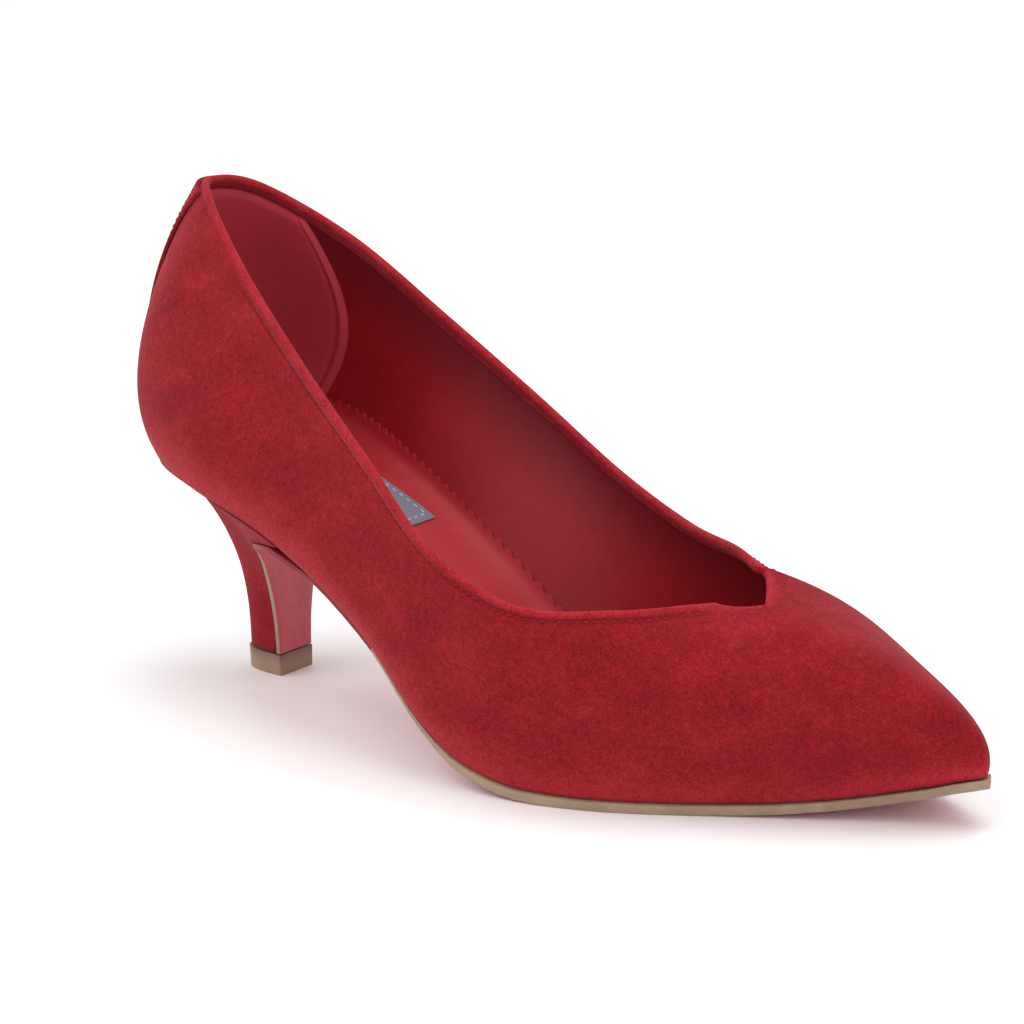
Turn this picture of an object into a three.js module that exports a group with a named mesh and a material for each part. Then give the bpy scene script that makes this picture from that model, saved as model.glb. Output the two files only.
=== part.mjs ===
// Red suede court shoe with a pointed toe, a V throat and a slim kitten heel. One right shoe.
// Millimetres. +X runs to the toe, +Y to the inner side of the foot, +Z up. It stands on its top lift
// and forepart, and the origin is the middle of its bounding box on the floor.
import * as THREE from 'three';
import { mergeVertices } from 'three/addons/utils/BufferGeometryUtils.js';

// Driving dimensions
const footLength = 235; // feather line, from the back of the seat to the tip of the toe
const ballWidth = 76; // width of the foot outline at the ball, along which the shares of width run
const seatHeight = 57; // how far the heel seat lies above the forepart
const toeSpring = 10; // how far the tip of the toe lies above the forepart
const collarRise = 63; // collar at the back, above the seat
const wall = 1.6; // suede and lining together
const notchDepth = 4.5; // cut of the V into the throat
const flangeWidth = 8; // lasting margin turned in under the insole
const toeFlangeWidth = 3; // the same margin at the tip of the toe
const soleThickness = 2.2; // forepart edge of the outsole
const waistThickness = 1.1; // outsole under the arch
const flapThickness = 1.3; // outsole where it covers the heel breast
const soleOverhang = 1.1; // outsole edge outside the feather line, round the forepart
const waistOverhang = -0.2; // the same under the arch, where the edge is trimmed close
const insoleThickness = 2;
const sockThickness = 0.9;
const sockInset = 2.2; // edge of the sock inside the feather line
const sockCup = 3; // how far the edge of the sock rises along the wall
const cupReach = 6; // width of the band that rises
const labelStart = 42; // back end of the patch on the sock, from the back of the seat
const labelLength = 34;
const labelWidth = 24;
const labelMiddle = -5.5; // middle of the patch, towards the inner side
const labelThickness = 0.5;
const stripWidth = 15; // cover over the back seam
const stripThickness = 0.9;
const liftHeight = 5.3;
const liftLength = 13.4;
const liftWidth = 12;
const liftBack = 22; // back of the top lift, from the back of the seat
const neckInset = 0.5; // neck of the heel inside the outline of the top lift
const neckRoundness = 0.8; // 1 makes the back of the neck a half ellipse, less makes it squarer
const heelBrim = 0.4; // heel outside the feather line, beside the breast
const backBrim = 1.2; // the same at the back of the seat
const clearance = 0.3; // between pieces that meet
const tipSlope = 0.085; // climb of the feather line at the tip of the toe

// Ribs of the last, from the back of the heel to the tip of the toe. Each rib leaves the feather line at its foot,
// leans out by lean for the length rise, and comes up to its crest with the slope rake over the length fall.
// Lengths along X are shares of footLength, widths of ballWidth and heights of collarRise. Angles are degrees, and
// facing is the plan direction that the rib looks to. Widths to the outer side of the foot come before the inner.
// foot, outer, inner, facing, lean, rise, crest, crestOuter, crestInner, topOuter, topInner, rake, fall
const ribs = [
  [0.0, 0.0, 0.0, 180, 31, 0.41, 0.05, 0.0, 0.0, 1.072, 1.072, 36, 0.32],
  [0.038, 0.24, 0.225, 135, 32, 0.4, 0.082, 0.12, 0.145, 1.033, 1.033, 28, 0.32],
  [0.132, 0.385, 0.305, 95, 24, 0.36, 0.17, 0.265, 0.29, 0.851, 0.851, 14, 0.3],
  [0.26, 0.435, 0.225, 90, 22, 0.27, 0.277, 0.385, 0.355, 0.715, 0.705, 3, 0.25],
  [0.379, 0.485, 0.17, 90, 28, 0.22, 0.387, 0.475, 0.39, 0.656, 0.663, 0, 0.21],
  [0.481, 0.55, 0.2, 88, 30, 0.19, 0.493, 0.55, 0.395, 0.66, 0.705, 4, 0.18],
  [0.574, 0.545, 0.33, 80, 25, 0.18, 0.6, 0.555, 0.32, 0.675, 0.74, 20, 0.18],
  [0.677, 0.45, 0.44, 66, 22, 0.18, 0.69, 0.42, 0.18, 0.7, 0.77, 40, 0.27],
  [0.796, 0.235, 0.395, 52, 21, 0.18, 0.73, 0.22, 0.105, 0.685, 0.75, 62, 0.43],
  [0.906, 0.05, 0.265, 40, 21, 0.19, 0.742, 0.12, 0.08, 0.62, 0.68, 73, 0.58],
  [1.0, -0.08, 0.08, 0, 20, 0.23, 0.746, 0.06, -0.06, 0.55, 0.55, 80, 0.73],
];

// Feather line seen from the side: share of footLength, share of seatHeight, share of toeSpring
const featherLine = [
  [0.0, 0.92, 0],
  [0.1, 0.902, 0],
  [0.2, 0.822, 0],
  [0.3, 0.67, 0],
  [0.4, 0.437, 0],
  [0.47, 0.215, 0],
  [0.53, 0.07, 0],
  [0.6, 0.006, 0],
  [0.65, 0, 0],
  [0.74, 0, 0],
  [0.8, 0, 0.05],
  [0.85, 0, 0.17],
  [0.9, 0, 0.38],
  [0.95, 0, 0.68],
  [1.0, 0, 1.0],
];

// Flare of the heel from its neck to the seat: height share, then how far the back, the breast and the sides have
// come from the neck outline to the seat outline
const heelFlare = [
  [0.0, 0.0, 0.0, 0.0],
  [0.2, 0.005, 0.004, 0.02],
  [0.4, 0.075, 0.02, 0.08],
  [0.55, 0.215, 0.05, 0.16],
  [0.68, 0.4, 0.1, 0.26],
  [0.79, 0.6, 0.18, 0.4],
  [0.87, 0.76, 0.31, 0.57],
  [0.93, 0.88, 0.5, 0.74],
  [0.97, 0.95, 0.71, 0.88],
  [1.0, 1.0, 1.0, 1.0],
];

// How finely the pieces are divided
const stepsPerRib = 5;
const outerRows = 10;
const innerRows = 8;
const acrossSteps = 4;
const heelSteps = 2;

const tipRib = ribs.length - 1;
const ribCount = 2 * tipRib;
const columns = ribCount * stepsPerRib;
const heelFrontRib = 3; // the heel reaches forward to this rib
const outsoleBackRib = 3.3; // the outsole leaves the upper at this rib and turns down over the heel breast
const notchRibs = 1.3; // the V spreads this far to each side of the tip rib
const radians = THREE.MathUtils.degToRad;

// Height of the feather line at x: a monotone cubic through the table, so that the forepart stays flat
const featherKnots = featherLine.map(([share, seat, spring]) => ({
  x: share * footLength,
  z: soleThickness + clearance + seat * seatHeight + spring * toeSpring,
}));
const featherSlopes = featherKnots.map((knot, i) => {
  const before = featherKnots[i - 1];
  const after = featherKnots[i + 1];
  if (!before) return 0;
  if (!after) return tipSlope;
  const left = (knot.z - before.z) / (knot.x - before.x);
  const right = (after.z - knot.z) / (after.x - knot.x);
  return left * right <= 0 ? 0 : (2 * left * right) / (left + right);
});

function featherHeight(x) {
  const last = featherKnots.length - 1;
  if (x <= featherKnots[0].x) return featherKnots[0].z;
  if (x >= featherKnots[last].x) return featherKnots[last].z;
  const i = featherKnots.findIndex((knot) => knot.x > x) - 1;
  const a = featherKnots[i];
  const b = featherKnots[i + 1];
  const width = b.x - a.x;
  const t = (x - a.x) / width;
  const ease = t * t * (3 - 2 * t);
  const bowA = t * (1 - t) * (1 - t) * width * featherSlopes[i];
  const bowB = t * t * (1 - t) * width * featherSlopes[i + 1];
  return a.z + (b.z - a.z) * ease + bowA - bowB;
}

// The four control loops of the last. Each runs from the back along the outer side to the toe and back inside.
function controlLoops() {
  const loops = { foot: [], rise: [], crest: [], fall: [] };
  for (let i = 0; i < ribCount; i += 1) {
    const outerSide = i <= tipRib;
    const rib = ribs[outerSide ? i : ribCount - i];
    const [foot, outer, inner, facing, lean, rise, crest, crestOuter, crestInner, topOuter, topInner, rake, fall] = rib;
    const side = outerSide ? -1 : 1;
    const footX = foot * footLength;
    const out = new THREE.Vector3(Math.cos(radians(facing)), side * Math.sin(radians(facing)), 0);
    if (i === 0 || i === tipRib) out.y = 0;
    const up = new THREE.Vector3(0, 0, 1);
    const footY = side * (outerSide ? outer : inner) * ballWidth;
    const crestY = side * (outerSide ? crestOuter : crestInner) * ballWidth;
    const crestZ = featherHeight(footX) + (outerSide ? topOuter : topInner) * collarRise;
    loops.foot.push(new THREE.Vector3(footX, footY, 0));
    loops.crest.push(new THREE.Vector3(crest * footLength, crestY, crestZ));
    const risen = out.clone().multiplyScalar(Math.sin(radians(lean))).addScaledVector(up, Math.cos(radians(lean)));
    loops.rise.push(risen.multiplyScalar(rise * collarRise));
    const fallen = out.clone().multiplyScalar(Math.sin(radians(rake))).addScaledVector(up, -Math.cos(radians(rake)));
    loops.fall.push(fallen.multiplyScalar(fall * collarRise));
  }
  const curve = (points) => new THREE.CatmullRomCurve3(points, true, 'catmullrom', 0.5);
  return { foot: curve(loops.foot), rise: curve(loops.rise), crest: curve(loops.crest), fall: curve(loops.fall) };
}

const loops = controlLoops();

function onLoop(curve, u) {
  return curve.getPoint(THREE.MathUtils.euclideanModulo(u / ribCount, 1));
}

function footPoint(u) {
  const foot = onLoop(loops.foot, u);
  return foot.setZ(featherHeight(foot.x));
}

// Outer surface of the upper: u counts ribs around the shoe, t runs from the feather line to the crest
function surfacePoint(u, t) {
  const foot = footPoint(u);
  const crest = onLoop(loops.crest, u);
  const low = onLoop(loops.rise, u).add(foot);
  const high = onLoop(loops.fall, u).add(crest);
  const s = 1 - t;
  return foot.multiplyScalar(s * s * s)
    .addScaledVector(low, 3 * t * s * s)
    .addScaledVector(high, 3 * t * t * s)
    .addScaledVector(crest, t * t * t);
}

function surfaceNormal(u, t) {
  const step = 0.002;
  const along = surfacePoint(u + step, t).sub(surfacePoint(u - step, t));
  const upward = surfacePoint(u, Math.min(t + step, 1)).sub(surfacePoint(u, Math.max(t - step, 0)));
  return along.cross(upward).normalize();
}

// How many ribs u lies away from the tip of the toe
function ribsFromTip(u) {
  return Math.abs(THREE.MathUtils.euclideanModulo(u, ribCount) - tipRib);
}

// The topline: the crest, with the V cut into it at the middle of the throat
function toplineShare(u) {
  const ribLength = surfacePoint(tipRib, 0).distanceTo(surfacePoint(tipRib, 1));
  return 1 - (notchDepth / ribLength) * Math.max(0, 1 - ribsFromTip(u) / notchRibs);
}

// Outward direction of the foot outline in plan
function planNormal(u) {
  const step = 0.01;
  const along = onLoop(loops.foot, u + step).sub(onLoop(loops.foot, u - step));
  return new THREE.Vector3(along.y, -along.x, 0).normalize();
}

// A point of the foot outline moved inwards, on the feather surface raised by lift
function insetPoint(u, inset, lift) {
  const point = onLoop(loops.foot, u).addScaledVector(planNormal(u), -inset);
  return point.setZ(featherHeight(point.x) + lift);
}

// One closed body from a list of corners and faces. Corners that coincide are joined and empty faces dropped.
function closedBody(corners, faces) {
  const geometry = new THREE.BufferGeometry();
  geometry.setAttribute('position', new THREE.Float32BufferAttribute(corners.flatMap((p) => [p.x, p.y, p.z]), 3));
  geometry.setIndex(faces.flat());
  const merged = mergeVertices(geometry, 1e-3);
  const index = Array.from(merged.index.array);
  const kept = [];
  for (let i = 0; i < index.length; i += 3) {
    const [a, b, c] = index.slice(i, i + 3);
    if (a !== b && b !== c && c !== a) kept.push(a, b, c);
  }
  merged.setIndex(kept);
  merged.computeVertexNormals();
  return merged;
}

function quad(a, b, c, d) {
  return [[a, b, c], [a, c, d]];
}

// A body whose skin closes on itself both ways, as a tube does: rings of points around the shoe
function ringBody(rings) {
  const count = rings[0].length;
  const faces = [];
  rings.forEach((ring, j) => {
    const next = (j + 1) % rings.length;
    ring.forEach((_, i) => {
      const ahead = (i + 1) % count;
      faces.push(...quad(j * count + i, j * count + ahead, next * count + ahead, next * count + i));
    });
  });
  return closedBody(rings.flat(), faces);
}

// A body between two sheets of the same grid, rows of points from the outer side to the inner side
function sheetBody(upper, lower) {
  const rows = upper.length;
  const width = upper[0].length;
  const at = (sheet, i, j) => sheet * rows * width + i * width + j;
  const faces = [];
  for (let i = 0; i < rows - 1; i += 1) {
    for (let j = 0; j < width - 1; j += 1) {
      faces.push(...quad(at(0, i, j), at(0, i + 1, j), at(0, i + 1, j + 1), at(0, i, j + 1)));
      faces.push(...quad(at(1, i, j), at(1, i, j + 1), at(1, i + 1, j + 1), at(1, i + 1, j)));
    }
    faces.push(...quad(at(0, i, 0), at(1, i, 0), at(1, i + 1, 0), at(0, i + 1, 0)));
    faces.push(...quad(at(0, i + 1, width - 1), at(1, i + 1, width - 1), at(1, i, width - 1), at(0, i, width - 1)));
  }
  for (let j = 0; j < width - 1; j += 1) {
    faces.push(...quad(at(0, 0, j), at(0, 0, j + 1), at(1, 0, j + 1), at(1, 0, j)));
    const last = rows - 1;
    faces.push(...quad(at(0, last, j), at(1, last, j), at(1, last, j + 1), at(0, last, j + 1)));
  }
  return closedBody([...upper.flat(), ...lower.flat()], faces);
}

// Points from one edge of a row to the other, on the feather surface raised by lift(x)
function acrossRow(near, far, lift) {
  const row = [];
  for (let j = 0; j <= acrossSteps; j += 1) {
    const point = near.clone().lerp(far, j / acrossSteps);
    row.push(lift ? point.setZ(featherHeight(point.x) + lift(point.x)) : point);
  }
  return row;
}

// Upper: one hollow wall, open at the topline and underneath, with the lasting margin turned in
function upperGeometry() {
  const us = Array.from({ length: columns }, (_, i) => i / stepsPerRib);
  const ring = (point) => us.map(point);
  const rings = [];
  for (let j = 0; j <= outerRows; j += 1) {
    rings.push(ring((u) => surfacePoint(u, (j / outerRows) * toplineShare(u))));
  }
  const rim = (depth, height) => ring((u) => {
    const t = toplineShare(u);
    const upward = surfacePoint(u, t).sub(surfacePoint(u, t - 0.01)).normalize();
    return surfacePoint(u, t).addScaledVector(surfaceNormal(u, t), -depth * wall).addScaledVector(upward, height * wall);
  });
  rings.push(rim(0.2, 0.32), rim(0.8, 0.32));
  const lowest = 0.07;
  for (let j = 0; j <= innerRows; j += 1) {
    const share = 1 - (j / innerRows) * (1 - lowest);
    rings.push(ring((u) => {
      const t = share * toplineShare(u);
      return surfacePoint(u, t).addScaledVector(surfaceNormal(u, t), -wall);
    }));
  }
  const flange = (u) => {
    const share = THREE.MathUtils.smoothstep(ribsFromTip(u), 0, 2.5);
    return THREE.MathUtils.lerp(toeFlangeWidth, flangeWidth, share);
  };
  rings.push(ring((u) => insetPoint(u, wall, wall)));
  rings.push(ring((u) => insetPoint(u, flange(u), wall)));
  rings.push(ring((u) => insetPoint(u, flange(u), 0)));
  return ringBody(rings);
}

// Cover over the back seam: a band on the outer surface, of one width from topline to feather
function backStripGeometry() {
  const rows = 12;
  const lowest = 0.03;
  const highest = 0.985;
  const atWidth = (y, t) => {
    let low = -2;
    let high = 2;
    for (let i = 0; i < 30; i += 1) {
      const middle = (low + high) / 2;
      if (surfacePoint(middle, t).y > y) low = middle;
      else high = middle;
    }
    return (low + high) / 2;
  };
  const sheet = (offset, edgeOffset) => Array.from({ length: rows + 1 }, (_, i) => {
    const t = highest + (lowest - highest) * (i / rows);
    return Array.from({ length: acrossSteps + 3 }, (__, j) => {
      const share = j / (acrossSteps + 2);
      const u = atWidth((share - 0.5) * stripWidth, t);
      const atEdge = j === 0 || j === acrossSteps + 2;
      return surfacePoint(u, t).addScaledVector(surfaceNormal(u, t), atEdge ? edgeOffset : offset);
    });
  });
  const inside = clearance;
  const outside = clearance + stripThickness;
  return sheetBody(sheet(inside, inside), sheet(outside, clearance + 0.5 * stripThickness));
}

// A plate inside the upper, with its edge inset from the foot outline
function innerPlateGeometry(inset, bottom, thickness) {
  const rows = (lift) => {
    const list = [];
    for (let i = 0; i <= tipRib * stepsPerRib; i += 1) {
      const u = i / stepsPerRib;
      list.push(acrossRow(insetPoint(u, inset, 0), insetPoint(-u, inset, 0), () => lift));
    }
    return list;
  };
  return sheetBody(rows(bottom + thickness), rows(bottom));
}

// Sock: flat in the middle, with its edge cupped up along the wall
function sockGeometry(bottom) {
  const bands = [0, 0.25, 0.5, 1];
  const rows = (lift) => Array.from({ length: tipRib * stepsPerRib + 1 }, (_, i) => {
    const u = i / stepsPerRib;
    const near = insetPoint(u, sockInset, 0);
    const far = insetPoint(-u, sockInset, 0);
    const half = near.distanceTo(far) / 2;
    const reach = Math.min(cupReach, half);
    const fromEdge = (from, to, depth) => {
      const point = from.clone().lerp(to, half > 0 ? depth / (2 * half) : 0);
      const rise = sockCup * (1 - depth / cupReach) ** 2;
      return point.setZ(featherHeight(point.x) + lift + rise);
    };
    const outer = bands.map((band) => fromEdge(near, far, band * reach));
    const inner = bands.map((band) => fromEdge(far, near, band * reach));
    return [...outer, ...inner.reverse()];
  });
  return sheetBody(rows(bottom + sockThickness), rows(bottom));
}

// Bare patch stitched to the sock at the heel
function labelGeometry(bottom) {
  const steps = 8;
  const rows = (lift) => Array.from({ length: steps + 1 }, (_, i) => {
    const x = labelStart + (i / steps) * labelLength;
    const near = new THREE.Vector3(x, labelMiddle - labelWidth / 2, 0);
    const far = new THREE.Vector3(x, labelMiddle + labelWidth / 2, 0);
    return acrossRow(near, far, () => lift);
  });
  return sheetBody(rows(bottom + labelThickness), rows(bottom));
}

// Neck outline of the heel: a D with its flat side to the front, from its back point to its front corners
const neckFront = liftBack + liftLength - flapThickness - clearance;
function neckPoint(u, grow) {
  const turn = (Math.min(Math.abs(u), heelFrontRib) / heelFrontRib) * (Math.PI / 2);
  const x = neckFront - (neckFront - liftBack + grow) * Math.max(0, Math.cos(turn)) ** neckRoundness;
  const y = Math.sign(-u) * (liftWidth / 2 - neckInset + grow) * Math.sin(turn) ** neckRoundness;
  return new THREE.Vector3(x, y, liftHeight + clearance);
}

function heelLevel(share) {
  const last = heelFlare.length - 1;
  const place = Math.min(share * last, last - 1e-9);
  const i = Math.floor(place);
  const t = place - i;
  const pick = (k) => heelFlare[THREE.MathUtils.clamp(k, 0, last)];
  return heelFlare[i].map((_, c) => {
    const [p0, p1, p2, p3] = [pick(i - 1)[c], pick(i)[c], pick(i + 1)[c], pick(i + 2)[c]];
    const m1 = (p2 - p0) / 2;
    const m2 = (p3 - p1) / 2;
    const value = p1 + m1 * t + (3 * (p2 - p1) - 2 * m1 - m2) * t * t + (2 * (p1 - p2) + m1 + m2) * t * t * t;
    return THREE.MathUtils.clamp(value, 0, 1);
  });
}

// A point of the heel's side: u from the front outer corner (+) round the back to the front inner corner (-)
function heelPoint(u, share) {
  const [height, back, breast, side] = heelLevel(share);
  const neck = neckPoint(u, 0);
  const forward = THREE.MathUtils.smoothstep(Math.abs(u), 0.6, heelFrontRib);
  const seat = insetPoint(u, -THREE.MathUtils.lerp(backBrim, heelBrim, forward), -clearance);
  const flareX = THREE.MathUtils.lerp(back, breast, forward);
  return new THREE.Vector3(
    THREE.MathUtils.lerp(neck.x, seat.x, flareX),
    THREE.MathUtils.lerp(neck.y, seat.y, side),
    THREE.MathUtils.lerp(neck.z, seat.z, height),
  );
}

// Heel: a slim neck that flares to the seat, with a flat breast that arches forward under the waist
function heelGeometry() {
  const levels = (heelFlare.length - 1) * heelSteps;
  const half = heelFrontRib * stepsPerRib;
  const corners = [];
  const faces = [];
  const patch = (rows) => {
    const start = corners.length;
    const width = rows[0].length;
    rows.forEach((row) => corners.push(...row));
    for (let i = 0; i < rows.length - 1; i += 1) {
      for (let j = 0; j < width - 1; j += 1) {
        const a = start + i * width + j;
        faces.push(...quad(a, a + 1, a + width + 1, a + width));
      }
    }
  };
  const side = [];
  const breast = [];
  for (let k = 0; k <= levels; k += 1) {
    const share = k / levels;
    const row = [];
    for (let i = half; i >= -half; i -= 1) row.push(heelPoint(i / stepsPerRib, share));
    side.push(row.reverse());
    const onSeat = k === levels ? () => -clearance : null;
    breast.push(acrossRow(heelPoint(heelFrontRib, share), heelPoint(-heelFrontRib, share), onSeat));
  }
  patch(side);
  patch(breast);
  const cap = (share, upward) => {
    const rows = [];
    for (let i = 0; i <= half; i += 1) {
      const u = i / stepsPerRib;
      const near = heelPoint(u, share);
      const far = heelPoint(-u, share);
      rows.push(upward ? acrossRow(far, near, () => -clearance) : acrossRow(near, far));
    }
    patch(rows);
  };
  cap(1, true);
  cap(0, false);
  return closedBody(corners, faces);
}

// Top lift: the rubber D under the heel
function topLiftGeometry() {
  const half = heelFrontRib * stepsPerRib;
  const outline = (height, grow) => {
    const rows = [];
    for (let i = 0; i <= half; i += 1) {
      const u = i / stepsPerRib;
      const near = neckPoint(u, grow);
      const far = neckPoint(-u, grow);
      near.z = height;
      far.z = height;
      rows.push(acrossRow(near, far));
    }
    const front = liftBack + liftLength;
    const edge = liftWidth / 2 - neckInset + grow;
    rows.push(acrossRow(new THREE.Vector3(front, -edge, height), new THREE.Vector3(front, edge, height)));
    return rows;
  };
  return sheetBody(outline(liftHeight, neckInset), outline(0, neckInset - 0.2));
}

// Outsole: a plate along the forepart and waist that turns down over the heel breast to the top lift
function outsoleGeometry() {
  const flapGrow = 0.3;
  const stations = [];
  for (let i = tipRib * stepsPerRib; i / stepsPerRib >= outsoleBackRib; i -= 1) {
    const u = i / stepsPerRib;
    const forepart = THREE.MathUtils.smoothstep(footPoint(u).x / footLength, 0.4, 0.6);
    const overhang = THREE.MathUtils.lerp(waistOverhang, soleOverhang, forepart);
    const near = insetPoint(u, -overhang, -clearance);
    const far = insetPoint(-u, -overhang, -clearance);
    stations.push({ near, far, thickness: THREE.MathUtils.lerp(waistThickness, soleThickness, forepart) });
  }
  const levels = (heelFlare.length - 1) * heelSteps;
  for (let k = levels - 1; k >= 0; k -= 1) {
    const share = k / levels;
    const near = heelPoint(heelFrontRib, share);
    const far = heelPoint(-heelFrontRib, share);
    near.y -= flapGrow;
    far.y += flapGrow;
    stations.push({ near, far, thickness: flapThickness, flap: true });
  }
  const middle = stations.map(({ near, far }) => near.clone().lerp(far, 0.5).setY(0));
  const down = middle.map((point, i) => {
    const ahead = middle[Math.min(i + 1, middle.length - 1)];
    const behind = middle[Math.max(i - 1, 0)];
    const along = ahead.clone().sub(behind);
    return new THREE.Vector3(-along.z, 0, along.x).normalize();
  });
  const sheet = (depthOf) => stations.map((station, i) => {
    const row = acrossRow(station.near, station.far);
    return row.map((point) => {
      const moved = point.clone();
      if (!station.flap) {
        moved.z = featherHeight(point.x) - clearance - depthOf(station);
        return moved;
      }
      return moved.addScaledVector(down[i], clearance + depthOf(station));
    });
  });
  return sheetBody(sheet(() => 0).reverse(), sheet((station) => station.thickness).reverse());
}

// Materials
const finish = (color, roughness) => new THREE.MeshStandardMaterial({ color, roughness, metalness: 0 });
const suede = () => finish(0xa8242c, 0.95);
const lining = () => finish(0xa02a30, 0.55);
const rubber = () => finish(0x9c7f62, 0.6);

const shoe = new THREE.Group();
function addPiece(name, geometry, material) {
  const piece = new THREE.Mesh(geometry, material);
  piece.name = name;
  shoe.add(piece);
  return piece;
}

const insoleBottom = wall + clearance;
const sockBottom = insoleBottom + insoleThickness + clearance;
const labelBottom = sockBottom + sockThickness + clearance;
const insoleInset = wall + 2 * clearance;
addPiece('upper', upperGeometry(), suede());
addPiece('back_strip', backStripGeometry(), suede());
addPiece('insole', innerPlateGeometry(insoleInset, insoleBottom, insoleThickness), lining());
addPiece('sock', sockGeometry(sockBottom), lining());
addPiece('sock_label', labelGeometry(labelBottom), finish(0x6e7080, 0.6));
addPiece('outsole', outsoleGeometry(), finish(0xb0906c, 0.6));
addPiece('heel', heelGeometry(), suede());
addPiece('top_lift', topLiftGeometry(), rubber());

// The origin goes to the middle of the bounding box, on the floor
const box = new THREE.Box3().setFromObject(shoe);
const centre = box.getCenter(new THREE.Vector3());
shoe.children.forEach((piece) => piece.position.set(-centre.x, -centre.y, -box.min.z));

export default shoe;
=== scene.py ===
"""Looks of a red suede court shoe with a pointed toe, a V throat and a kitten heel. One right shoe.

In metres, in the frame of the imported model: +X runs to the toe, +Y to the inner side of the foot, +Z up, and
the floor is at z = 0.
"""

import logging
import math
from collections.abc import Callable, Sequence
from dataclasses import dataclass, field
from enum import Enum

import bpy
import numpy as np
from mathutils import Euler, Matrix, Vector

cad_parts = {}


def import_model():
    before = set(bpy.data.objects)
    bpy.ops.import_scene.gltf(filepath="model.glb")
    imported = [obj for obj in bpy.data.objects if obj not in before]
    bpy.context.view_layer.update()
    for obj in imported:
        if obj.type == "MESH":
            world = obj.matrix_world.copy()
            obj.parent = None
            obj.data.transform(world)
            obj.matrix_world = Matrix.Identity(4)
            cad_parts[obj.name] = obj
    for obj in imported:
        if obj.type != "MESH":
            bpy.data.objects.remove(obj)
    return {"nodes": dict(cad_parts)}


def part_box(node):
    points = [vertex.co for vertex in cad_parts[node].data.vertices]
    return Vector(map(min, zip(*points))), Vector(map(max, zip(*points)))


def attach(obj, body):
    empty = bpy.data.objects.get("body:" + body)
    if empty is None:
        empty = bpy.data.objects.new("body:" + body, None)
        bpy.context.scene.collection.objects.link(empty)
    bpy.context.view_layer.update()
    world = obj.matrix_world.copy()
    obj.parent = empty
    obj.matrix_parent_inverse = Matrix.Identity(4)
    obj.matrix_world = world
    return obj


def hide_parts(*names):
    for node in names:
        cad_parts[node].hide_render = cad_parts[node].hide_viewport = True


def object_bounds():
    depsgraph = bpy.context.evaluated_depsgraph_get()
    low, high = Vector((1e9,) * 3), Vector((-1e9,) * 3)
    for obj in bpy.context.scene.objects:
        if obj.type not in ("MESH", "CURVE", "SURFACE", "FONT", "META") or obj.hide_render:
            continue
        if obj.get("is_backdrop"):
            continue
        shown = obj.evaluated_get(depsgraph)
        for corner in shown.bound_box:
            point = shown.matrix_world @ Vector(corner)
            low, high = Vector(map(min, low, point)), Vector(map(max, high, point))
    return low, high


LOG = logging.getLogger("court_shoe")
MM = 0.001
BODY = "root"
TIP_RIB = 10
RIB_COUNT = 2 * TIP_RIB

# Ribs of the last, from the back of the heel to the tip of the toe, as in the part's source:
# foot, outer, inner, facing, lean, rise, crest, crest outer, crest inner, top outer, top inner, rake, fall
RIBS = (
    (0.0, 0.0, 0.0, 180, 31, 0.41, 0.05, 0.0, 0.0, 1.072, 1.072, 36, 0.32),
    (0.038, 0.24, 0.225, 135, 32, 0.4, 0.082, 0.12, 0.145, 1.033, 1.033, 28, 0.32),
    (0.132, 0.385, 0.305, 95, 24, 0.36, 0.17, 0.265, 0.29, 0.851, 0.851, 14, 0.3),
    (0.26, 0.435, 0.225, 90, 22, 0.27, 0.277, 0.385, 0.355, 0.715, 0.705, 3, 0.25),
    (0.379, 0.485, 0.17, 90, 28, 0.22, 0.387, 0.475, 0.39, 0.656, 0.663, 0, 0.21),
    (0.481, 0.55, 0.2, 88, 30, 0.19, 0.493, 0.55, 0.395, 0.66, 0.705, 4, 0.18),
    (0.574, 0.545, 0.33, 80, 25, 0.18, 0.6, 0.555, 0.32, 0.675, 0.74, 20, 0.18),
    (0.677, 0.45, 0.44, 66, 22, 0.18, 0.69, 0.42, 0.18, 0.7, 0.77, 40, 0.27),
    (0.796, 0.235, 0.395, 52, 21, 0.18, 0.73, 0.22, 0.105, 0.685, 0.75, 62, 0.43),
    (0.906, 0.05, 0.265, 40, 21, 0.19, 0.742, 0.12, 0.08, 0.62, 0.68, 73, 0.58),
    (1.0, -0.08, 0.08, 0, 20, 0.23, 0.746, 0.06, -0.06, 0.55, 0.55, 80, 0.73),
)

# Feather line seen from the side: share of the length, share of the seat height, share of the toe spring
FEATHER = (
    (0.0, 0.92, 0), (0.1, 0.902, 0), (0.2, 0.822, 0), (0.3, 0.67, 0), (0.4, 0.437, 0),
    (0.47, 0.215, 0), (0.53, 0.07, 0), (0.6, 0.006, 0), (0.65, 0, 0), (0.74, 0, 0),
    (0.8, 0, 0.05), (0.85, 0, 0.17), (0.9, 0, 0.38), (0.95, 0, 0.68), (1.0, 0, 1.0),
)

Array = np.ndarray
Piece = bpy.types.Object
Triple = tuple[float, float, float]


def smooth(value: Array, low: float, high: float) -> Array:
    """Eased step from 0 at low to 1 at high."""
    share = np.clip((np.asarray(value, float) - low) / (high - low), 0, 1)
    return share * share * (3 - 2 * share)


def unit(vectors: Array) -> Array:
    """The vectors at length 1."""
    return vectors / np.maximum(np.linalg.norm(vectors, axis=-1, keepdims=True), 1e-12)


def way_along(path: Array) -> Array:
    """Length of the path up to each of its points."""
    return np.concatenate([[0], np.cumsum(np.linalg.norm(np.diff(path, axis=0), axis=1))])


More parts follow.
